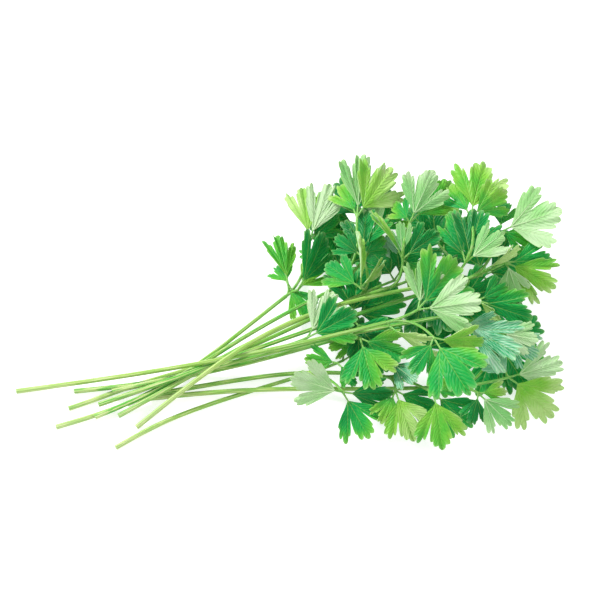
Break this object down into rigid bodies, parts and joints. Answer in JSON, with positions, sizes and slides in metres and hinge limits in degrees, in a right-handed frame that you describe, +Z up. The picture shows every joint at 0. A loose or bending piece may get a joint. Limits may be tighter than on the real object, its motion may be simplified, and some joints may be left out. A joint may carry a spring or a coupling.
{
  "type": "parsley bunch",
  "caption": "Loose bunch of cut flat-leaf parsley lying on its side, long pale stalks crossing in a sheaf and bright green three-lobed leaflets heaped at one end",
  "frame": {"origin": "middle of the bunch's footprint, at the height of the table it lies on", "axes": "+X from the cut ends of the stalks toward the leaf tips, +Z up from the table, +Y across the bunch, away from someone who has the cut ends on their left"},
  "size_m": [0.2723, 0.1538, 0.0611],
  "materials": {
    "foliage": "fresh green leaf, softly glossy"
  },
  "bodies": {
    "root": {"leafy_stem_01": "foliage", "leafy_stem_02": "foliage", "leafy_stem_03": "foliage", "leafy_stem_04": "foliage", "leafy_stem_05": "foliage", "leafy_stem_06": "foliage", "leafy_stem_07": "foliage", "leafy_stem_08": "foliage", "leafy_stem_09": "foliage", "leafy_stem_10": "foliage", "leafy_stem_11": "foliage", "leafy_stem_12": "foliage"}
  },
  "joints": []
}
